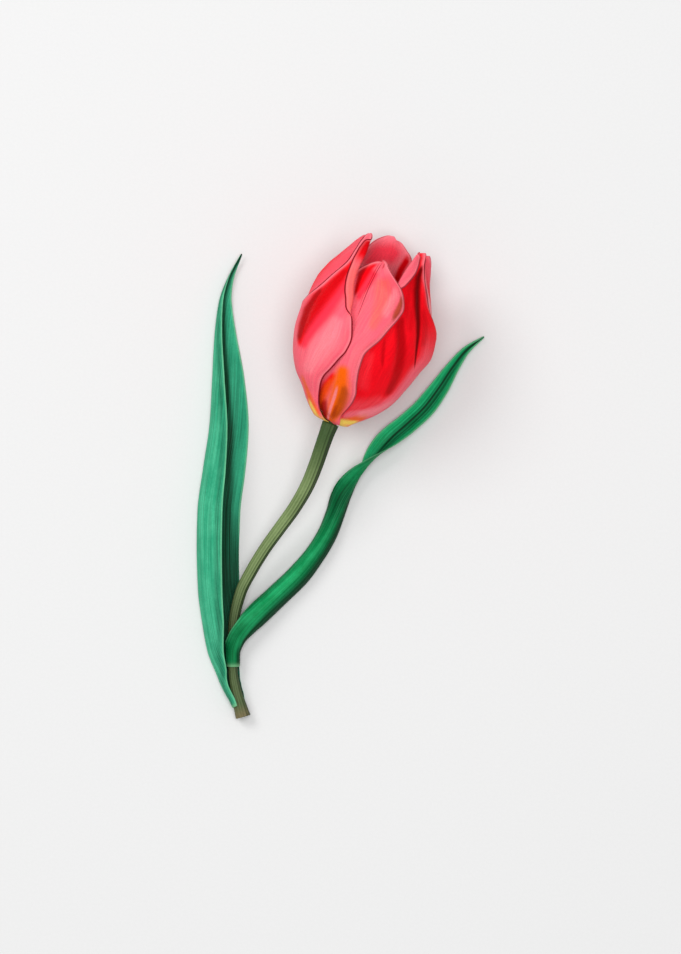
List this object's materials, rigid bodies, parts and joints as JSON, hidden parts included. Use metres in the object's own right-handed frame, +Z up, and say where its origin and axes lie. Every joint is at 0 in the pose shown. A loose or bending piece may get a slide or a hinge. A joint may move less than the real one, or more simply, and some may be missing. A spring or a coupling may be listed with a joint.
{
  "type": "cut tulip",
  "caption": "Cut tulip lying down: cup-shaped flower of overlapping petals on a bent stem, with two long leaves that clasp the stem.",
  "frame": {"origin": "centre of the plant's box, on the surface it lies on", "axes": "+Y from the cut end of the stem towards the flower, +X towards the upper leaf, +Z up from the surface"},
  "size_m": [0.1157, 0.1947, 0.057],
  "materials": {
    "stem": "fresh green stem, faintly ribbed",
    "leaf": "smooth green leaf with fine long veins",
    "petal": "soft red petal, pink at the margins and yellow at the base",
    "pistil": "pale green, matt",
    "stamen": "dark anther with matt pollen"
  },
  "bodies": {
    "root": {"stem": "stem", "lower_leaf": "leaf", "upper_leaf": "leaf", "petal_left": "petal", "petal_front": "petal", "petal_right": "petal", "petal_back_right": "petal", "petal_back": "petal", "petal_back_left": "petal", "pistil": "pistil", "stamen_1": "stamen", "stamen_2": "stamen", "stamen_3": "stamen", "stamen_4": "stamen", "stamen_5": "stamen", "stamen_6": "stamen"}
  },
  "joints": []
}
